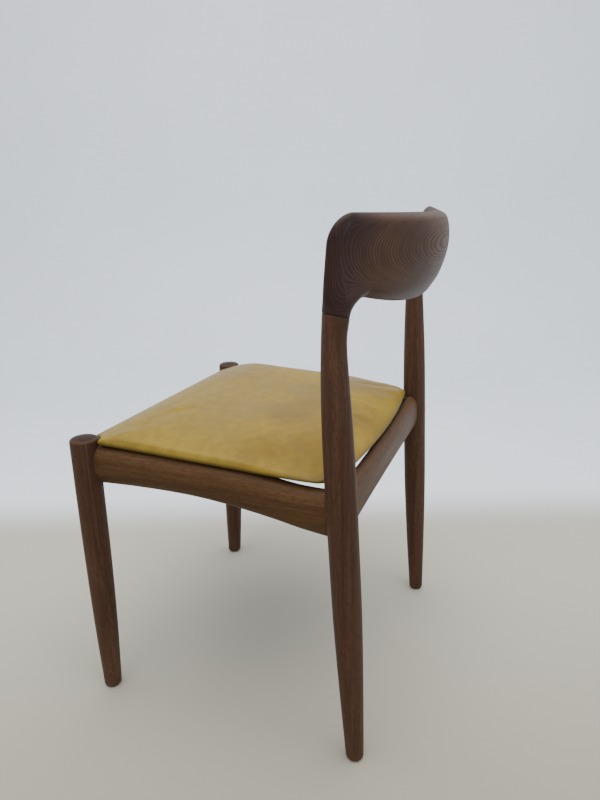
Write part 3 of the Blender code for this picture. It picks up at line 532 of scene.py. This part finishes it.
# Leather: two grounds, paler patches, specks, and the lower edge shaded over a height.
DARK_HIDE, PALE_HIDE = (0.190, 0.112, 0.0085), (0.300, 0.193, 0.0190)
PATCHES, SPECKS = (0.268, 0.185, 0.0280), (0.140, 0.082, 0.0060)
SHADED_HIDE, SHADED_HIDE_ABOVE = (0.085, 0.060, 0.0160), (0.010, 0.0005)
BEECH = ((0.56, 0.38, 0.22), (0.44, 0.28, 0.15))
PLYWOOD = ((0.50, 0.36, 0.21), (0.38, 0.25, 0.13))
ZINC = ((0.42, 0.41, 0.38), (0.55, 0.54, 0.50))
FOAM = ((0.50, 0.44, 0.26), (0.74, 0.68, 0.48))
BLACK_CLOTH = ((0.035, 0.035, 0.036), (0.012, 0.012, 0.012))
BLACK_CLOTH_PITCH = 0.0012
# The floor's painted light near the camera, under the chair and beyond it; its faint clouds.
FLOOR = ((0.285, 0.255, 0.175), (0.52, 0.492, 0.405), (0.89, 0.935, 0.995))
FLOOR_CLOUDS = (0.40, 0.39, 0.36)


def times(colour, share):
    """A colour made darker: a share of each of its values."""
    return tuple(share * value for value in colour)


class Nodes:
    """A material's node tree, with short calls for the nodes used here."""

    def __init__(self, name, roughness=0.5, **sockets):
        self.material = bpy.data.materials.new(name)
        self.material.use_nodes = True
        self.tree = self.material.node_tree
        self.tree.nodes.clear()
        self.output = self.tree.nodes.new("ShaderNodeOutputMaterial")
        self.shader = self.tree.nodes.new("ShaderNodeBsdfPrincipled")
        self.tree.links.new(self.shader.outputs[0], self.output.inputs["Surface"])
        self.shader.inputs["Roughness"].default_value = roughness
        for key, value in sockets.items():
            self.shader.inputs[key.replace("_", " ")].default_value = value
        self.place = self.tree.nodes.new("ShaderNodeTexCoord").outputs["Object"]

    def link(self, source, target):
        if isinstance(source, bpy.types.NodeSocket):
            self.tree.links.new(source, target)
        else:
            target.default_value = source

    def math(self, operation, a, b=0.0):
        node = self.tree.nodes.new("ShaderNodeMath")
        node.operation = operation
        self.link(a, node.inputs[0])
        self.link(b, node.inputs[1])
        return node.outputs[0]

    def mapped(self, scale, offset=(0, 0, 0)):
        node = self.tree.nodes.new("ShaderNodeMapping")
        node.inputs["Scale"].default_value = scale
        node.inputs["Location"].default_value = offset
        self.link(self.place, node.inputs["Vector"])
        return node.outputs[0]

    def noise(self, vector, detail=4.0, rough=0.5, distortion=0.0):
        node = self.tree.nodes.new("ShaderNodeTexNoise")
        node.inputs["Scale"].default_value = 1.0
        node.inputs["Detail"].default_value = detail
        node.inputs["Roughness"].default_value = rough
        node.inputs["Distortion"].default_value = distortion
        self.link(vector, node.inputs["Vector"])
        return node.outputs["Fac"]

    def voronoi(self, vector):
        node = self.tree.nodes.new("ShaderNodeTexVoronoi")
        node.inputs["Scale"].default_value = 1.0
        self.link(vector, node.inputs["Vector"])
        return node.outputs["Distance"]

    def range(self, value, low, high, to_low=0.0, to_high=1.0):
        node = self.tree.nodes.new("ShaderNodeMapRange")
        node.interpolation_type = "SMOOTHSTEP"
        self.link(value, node.inputs["Value"])
        node.inputs["From Min"].default_value = low
        node.inputs["From Max"].default_value = high
        node.inputs["To Min"].default_value = to_low
        node.inputs["To Max"].default_value = to_high
        return node.outputs["Result"]

    def mix(self, factor, a, b):
        node = self.tree.nodes.new("ShaderNodeMix")
        node.data_type = "RGBA"
        self.link(factor, node.inputs["Factor"])
        for value, socket in ((a, node.inputs["A"]), (b, node.inputs["B"])):
            self.link((*value, 1.0) if isinstance(value, tuple) else value, socket)
        return node.outputs["Result"]

    def axes(self):
        node = self.tree.nodes.new("ShaderNodeSeparateXYZ")
        self.link(self.place, node.inputs[0])
        return node.outputs["X"], node.outputs["Y"], node.outputs["Z"]

    def vector(self, x, y, z):
        node = self.tree.nodes.new("ShaderNodeCombineXYZ")
        for value, socket in zip((x, y, z), node.inputs):
            self.link(value, socket)
        return node.outputs[0]

    def colour(self, value):
        self.link(value, self.shader.inputs["Base Color"])

    def rough(self, value):
        self.link(value, self.shader.inputs["Roughness"])

    def bump(self, height, distance, strength):
        node = self.tree.nodes.new("ShaderNodeBump")
        node.inputs["Strength"].default_value = strength
        node.inputs["Distance"].default_value = distance
        self.link(height, node.inputs["Height"])
        self.link(node.outputs["Normal"], self.shader.inputs["Normal"])


def straight_wood(name, along, dark, middle, light, seed, roughness=0.50):
    """Oiled walnut whose grain runs along one axis: fibres, darker bands and short open pores."""
    wood = Nodes(name, roughness, Specular_IOR_Level=0.12)

    def stretched(across, lengthwise):
        scale = [across, across, across]
        scale[along] = lengthwise
        return wood.mapped(scale, offset=(seed, seed * 1.7, seed * 0.6))

    bands = wood.noise(stretched(60, 2.2), detail=3, rough=0.55, distortion=0.6)
    streaks = wood.noise(stretched(240, 7), detail=4, rough=0.6, distortion=0.3)
    fibres = wood.noise(stretched(900, 26), detail=3, rough=0.6)
    pores = wood.noise(stretched(1500, 60), detail=2, rough=0.5)
    flecks = wood.noise(stretched(380, 110), detail=3, rough=0.65)
    base = wood.mix(wood.range(bands, 0.25, 0.75), dark, middle)
    base = wood.mix(wood.range(streaks, 0.40, 0.72, 0.0, 0.45), base, light)
    base = wood.mix(wood.range(fibres, 0.40, 0.72, 0.0, 0.30), base, dark)
    base = wood.mix(wood.range(flecks, 0.46, 0.66, 0.0, 0.60), base, dark)
    pore = wood.range(pores, 0.60, 0.70, 0.0, 0.5)
    base = wood.mix(pore, base, times(dark, 0.45))
    if along == 2:
        _, y, z = wood.axes()
        top, front = wood.range(z, *END_GRAIN_Z), wood.range(y, *END_GRAIN_Y)
        end_grain = wood.math("MULTIPLY", top, front)
        base = wood.mix(wood.math("MULTIPLY", end_grain, 0.8), base, times(dark, 0.4))
    wood.colour(base)
    dull = wood.range(streaks, 0.3, 0.7, roughness - 0.05, roughness + 0.06)
    wood.rough(wood.math("ADD", dull, wood.math("MULTIPLY", pore, 0.2)))
    height = wood.math("ADD", wood.math("MULTIPLY", fibres, 0.5), wood.math("MULTIPLY", pore, -0.7))
    wood.bump(height, 0.00012, 0.7)
    return wood.material


def carved_wood(name):
    """Dark hardwood whose curved growth layers show as closed rings where the carving cuts them."""
    wood = Nodes(name, 0.50, Specular_IOR_Level=0.06, Coat_Weight=0.07, Coat_Roughness=0.16)
    x, y, z = wood.axes()
    drift = wood.noise(wood.mapped((4.0, 14.0, 9.0)), detail=3, rough=0.5)
    height = wood.math("SUBTRACT", z, RING_CENTRE_Z)
    bend = wood.math("MULTIPLY", wood.math("MULTIPLY", height, height), RING_BEND)
    outwards = wood.math("ABSOLUTE", x)
    bend = wood.math("MULTIPLY", bend, wood.range(outwards, *RING_STRAIGHT_X))
    drift = wood.math("MULTIPLY", drift, RING_DRIFT)
    depth = wood.math("ADD", wood.math("SUBTRACT", bend, y), drift)
    year = wood.math("DIVIDE", depth, RING_DEPTH)
    growth = wood.math("FRACT", year)
    late = wood.range(growth, 0.35, 0.90)
    late = wood.math("MULTIPLY", late, wood.range(growth, 1.0, 0.93))

    def layered(within, across):
        """Places for a noise that is stretched along the growth layers."""
        scales = ((x, within), (depth, across), (z, within))
        return wood.vector(*(wood.math("MULTIPLY", value, scale) for value, scale in scales))

    bands = wood.noise(layered(3.0, 210.0), detail=4, rough=0.7)
    threads = wood.noise(layered(40.0, 1700.0), detail=3, rough=0.6)
    tone = wood.noise(wood.mapped((5, 9, 9), offset=(2.0, 0.4, 1.1)), detail=3, rough=0.5)
    base = wood.mix(wood.range(tone, 0.35, 0.68), DARK_GROUND, PALE_GROUND)
    base = wood.mix(wood.range(bands, 0.46, 0.68, 0.0, 0.30), base, PALE_BAND)
    base = wood.mix(wood.range(bands, 0.46, 0.30, 0.0, 0.50), base, DARK_LINE)
    base = wood.mix(wood.math("MULTIPLY", late, 0.75), base, DARK_LINE)
    base = wood.mix(wood.range(threads, 0.48, 0.66, 0.0, 0.60), base, DARK_LINE)
    base = wood.mix(wood.range(outwards, *SHADED_X, 0.0, 0.75), base, SHADED_END)
    wood.colour(base)
    wood.rough(wood.range(bands, 0.3, 0.7, 0.46, 0.56))
    threads = wood.math("MULTIPLY", threads, -0.5)
    height = wood.math("ADD", wood.math("MULTIPLY", late, 0.4), threads)
    wood.bump(height, 0.00012, 0.6)
    return wood.material


def mustard_leather(name):
    """Worn mustard leather: soft mottling, fine grain, faint creases and a shaded lower edge."""
    hide = Nodes(name, 0.46, Specular_IOR_Level=0.22)
    _, y, z = hide.axes()
    clouds = hide.noise(hide.mapped((9, 9, 9)), detail=5, rough=0.55)
    wide = hide.mapped((3.2, 3.2, 3.2), offset=(4.2, 1.3, 0.2))
    patches = hide.noise(wide, detail=3, rough=0.5)
    specks = hide.noise(hide.mapped((70, 70, 70)), detail=4, rough=0.6)
    base = hide.mix(hide.range(clouds, 0.36, 0.64), DARK_HIDE, PALE_HIDE)
    base = hide.mix(hide.range(patches, 0.40, 0.60, 0.0, 0.65), base, PATCHES)
    base = hide.mix(hide.range(specks, 0.38, 0.68, 0.0, 0.30), base, SPECKS)
    above = hide.math("SUBTRACT", z, SEAT_BASE_Z)
    above = hide.math("SUBTRACT", above, hide.math("MULTIPLY", y, SEAT_SLOPE))
    base = hide.mix(hide.range(above, *SHADED_HIDE_ABOVE, 0.0, 0.85), base, SHADED_HIDE)
    hide.colour(base)
    hide.rough(hide.range(clouds, 0.3, 0.7, 0.42, 0.54))
    cells = hide.voronoi(hide.mapped((900, 900, 900)))
    close = hide.mapped((160, 160, 160), offset=(1, 2, 3))
    creases = hide.noise(close, detail=5, rough=0.65, distortion=0.8)
    waves = hide.noise(hide.mapped((16, 16, 16)), detail=2, rough=0.5)
    cells = hide.math("MULTIPLY", cells, 0.25)
    height = hide.math("ADD", cells, hide.math("MULTIPLY", creases, 0.75))
    height = hide.math("ADD", height, hide.math("MULTIPLY", waves, 3.0))
    hide.bump(height, 0.00035, 0.45)
    return hide.material


def plain_wood(name, base, darker, along):
    """Unfinished wood of the hidden pieces, with its grain along one axis."""
    wood = Nodes(name, 0.6)
    scale = [180, 180, 180]
    scale[along] = 9
    grain = wood.noise(wood.mapped(scale), detail=4, rough=0.6)
    flecks = wood.noise(wood.mapped([5 * value for value in scale]), detail=2)
    shade = wood.mix(wood.range(grain, 0.35, 0.68), darker, base)
    shade = wood.mix(wood.range(flecks, 0.60, 0.72, 0.0, 0.4), shade, times(darker, 0.6))
    wood.colour(shade)
    wood.rough(wood.range(grain, 0.3, 0.7, 0.55, 0.68))
    wood.bump(grain, 0.0001, 0.4)
    return wood.material


def zinc(name):
    """Zinc-plated steel with slight wear."""
    metal = Nodes(name, 0.34, Metallic=1.0)
    wear = metal.noise(metal.mapped((400, 400, 400)), detail=4)
    metal.colour(metal.mix(metal.range(wear, 0.35, 0.7), *ZINC))
    metal.rough(metal.range(wear, 0.3, 0.7, 0.28, 0.42))
    metal.bump(wear, 0.00004, 0.3)
    return metal.material


def woven(name, base, darker, pitch):
    """Plain-woven cloth in the xy plane."""
    cloth = Nodes(name, 0.92)
    x, y, _ = cloth.axes()
    warp = cloth.math("SINE", cloth.math("MULTIPLY", x, 2 * math.pi / pitch))
    weft = cloth.math("SINE", cloth.math("MULTIPLY", y, 2 * math.pi / pitch))
    weave = cloth.math("MULTIPLY", warp, weft)
    cloth.colour(cloth.mix(cloth.range(weave, -1.0, 1.0), darker, base))
    cloth.bump(weave, 0.00015, 0.5)
    return cloth.material


def foam(name):
    """Open-celled upholstery foam."""
    soft = Nodes(name, 0.95)
    cells = soft.voronoi(soft.mapped((700, 700, 700)))
    soft.colour(soft.mix(soft.range(cells, 0.1, 0.7), *FOAM))
    soft.bump(cells, 0.0004, 0.6)
    return soft.material


# ---------------------------------------------------------------- the chair

leg_wood = straight_wood("walnut_leg_grain", 2, *WALNUT, seed=3.0)
side_wood = straight_wood("walnut_side_rail_grain", 1, *RAIL_WALNUT, seed=7.0)
cross_wood = straight_wood("walnut_cross_rail_grain", 0, *RAIL_WALNUT, seed=11.0)
steel = zinc("zinc_steel_wear")
beech = plain_wood("beech_grain", *BEECH, 0)
dowel_wood = plain_wood("beech_dowel_grain", *BEECH, 2)
plywood = plain_wood("plywood_grain", *PLYWOOD, 0)

for label, side in SIDES.items():
    leg(f"front_leg_{label}", FRONT_LEG, side, True, leg_wood)
    leg(f"rear_leg_{label}", REAR_LEG, side, False, leg_wood)
    side_rail(label, side, side_wood)
cross_rail("back_rail", BACK_RAIL, BACK_RAIL_INNER_Y, BACK_RAIL_WIDTH, 1, REAR_LEG, cross_wood)
cross_rail(
    "front_rail", FRONT_RAIL, FRONT_RAIL_INNER_Y, FRONT_RAIL_WIDTH, -1, FRONT_LEG, cross_wood
)
backrest(carved_wood("carved_backrest_figure"))
seat_pad(mustard_leather("mustard_leather_hide"))

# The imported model's own solids that stay in view, by the start of their names.
FINISHES = {
    "block_screw": steel,
    "seat_screw": steel,
    "corner_block": beech,
    "seat_crossbar": beech,
    "backrest_dowel": dowel_wood,
    "seat_board": plywood,
    "seat_foam": foam("foam_cells"),
    "dust_cover": woven("black_cloth_weave", *BLACK_CLOTH, BLACK_CLOTH_PITCH),
}
for name, obj in NODES.items():
    for start, finish in FINISHES.items():
        if name.startswith(start):
            obj.data.materials.clear()
            obj.data.materials.append(finish)


# ---------------------------------------------------------------- floor, light and camera

# The camera: place in metres, angles in degrees, lens in millimetres.
CAMERA_PLACE = (0.9173, 0.3983, 0.7916)
CAMERA_YAW, CAMERA_PITCH, CAMERA_ROLL = -158.124, 17.823, -1.213
CAMERA_LENS = 27.76

# The floor and wall, with distances from the chair towards the camera: the floor's near edge,
# the wall, the radius of the bend between them, the wall's height and half the width.
FLOOR_START, WALL_DISTANCE, WALL_BEND, WALL_BEND_STEPS = 4.0, -2.6, 0.8, 16
WALL_HEIGHT, FLOOR_HALF_WIDTH = 4.2, 7.0

# Area lights: name, place, target, size, power in watts, colour.
LIGHTS = (
    ("window", (0.35, 2.9, 0.35), (0.25, 0.19, 0.72), (0.30, 1.5), 14, (0.50, 0.70, 1.0)),
    ("ceiling", (0.3, 0.2, 3.0), (0, 0, 0.4), (2.8, 2.8), 90, (1.0, 0.99, 0.97)),
)
SKY_COLOUR, SKY_STRENGTH = (0.93, 0.96, 1.0, 1.0), 0.95


def studio_paint_and_painted_light():
    """Matt paint with painted light: darker near the camera, paler and cooler beyond the chair."""
    paint = Nodes("studio_paint_and_painted_light", 0.75)
    clouds = paint.noise(paint.mapped((1.3, 1.3, 1.3)), detail=4, rough=0.6)
    distance = paint.tree.nodes.new("ShaderNodeVectorMath")
    distance.operation = "DOT_PRODUCT"
    paint.link(paint.place, distance.inputs[0])
    away = math.radians(CAMERA_YAW)
    distance.inputs[1].default_value = (math.cos(away), math.sin(away), 0)
    # Painted light and shade: darker towards the camera, paler and cooler beyond the chair.
    near = paint.mix(paint.range(distance.outputs["Value"], -0.9, 0.25), FLOOR[0], FLOOR[1])
    far = paint.mix(paint.range(distance.outputs["Value"], 0.38, 0.62), near, FLOOR[2])
    paint.colour(paint.mix(paint.range(clouds, 0.35, 0.65, 0.0, 0.06), far, FLOOR_CLOUDS))
    return paint.material


def studio():
    """A pale floor that turns up into a pale wall behind the chair."""
    foot = WALL_DISTANCE + WALL_BEND
    profile = [(FLOOR_START, 0.0), (foot, 0.0)]
    for angle in arc(WALL_BEND_STEPS)[1:]:
        rise = WALL_BEND - WALL_BEND * math.cos(angle)
        profile.append((foot - WALL_BEND * math.sin(angle), rise))
    profile.append((WALL_DISTANCE, WALL_HEIGHT))
    away = math.radians(CAMERA_YAW)
    ahead = Vector((math.cos(away), math.sin(away), 0))
    across = Vector((-ahead.y, ahead.x, 0))
    points, faces = [], []
    for distance, z in profile:
        for side in (-FLOOR_HALF_WIDTH, FLOOR_HALF_WIDTH):
            points.append(-ahead * distance + across * side + Vector((0, 0, z)))
    for i in range(len(profile) - 1):
        faces.append((2 * i, 2 * i + 1, 2 * i + 3, 2 * i + 2))
    mesh = bpy.data.meshes.new("studio_floor")
    mesh.from_pydata(points, [], faces)
    mesh.shade_smooth()
    floor = bpy.data.objects.new("studio_floor", mesh)
    bpy.context.scene.collection.objects.link(floor)
    mesh.materials.append(studio_paint_and_painted_light())


def area_light(name, place, target, size, power, colour):
    """A rectangular light that faces its target and stays out of the camera's sight."""
    data = bpy.data.lights.new(name, "AREA")
    data.shape = "RECTANGLE"
    data.size, data.size_y = size
    data.energy = power
    data.color = colour
    light = bpy.data.objects.new(name, data)
    bpy.context.scene.collection.objects.link(light)
    light.location = place
    light.rotation_mode = "QUATERNION"
    light.rotation_quaternion = (Vector(target) - Vector(place)).to_track_quat("-Z", "Y")
    light.visible_camera = False


def camera():
    """The camera, looking ahead and down, turned by its roll."""
    yaw, pitch, roll = (math.radians(v) for v in (CAMERA_YAW, CAMERA_PITCH, CAMERA_ROLL))
    level = math.cos(pitch)
    ahead = Vector((math.cos(yaw) * level, math.sin(yaw) * level, -math.sin(pitch)))
    right = ahead.cross(Vector((0, 0, 1))).normalized()
    up = right.cross(ahead)
    turned = math.cos(roll) * right + math.sin(roll) * up
    above = -math.sin(roll) * right + math.cos(roll) * up
    data = bpy.data.cameras.new("camera")
    data.sensor_width = 36.0
    data.lens = CAMERA_LENS
    data.clip_start = 0.01
    view = bpy.data.objects.new("camera", data)
    bpy.context.scene.collection.objects.link(view)
    axes = Matrix((turned, above, -ahead)).transposed()
    view.matrix_world = Matrix.Translation(CAMERA_PLACE) @ axes.to_4x4()
    bpy.context.scene.camera = view


def lighting():
    """An even sky and the area lights."""
    world = bpy.data.worlds.new("studio")
    world.use_nodes = True
    back = world.node_tree.nodes["Background"]
    back.inputs["Color"].default_value = SKY_COLOUR
    back.inputs["Strength"].default_value = SKY_STRENGTH
    bpy.context.scene.world = world
    for settings in LIGHTS:
        area_light(*settings)


studio()
lighting()
camera()
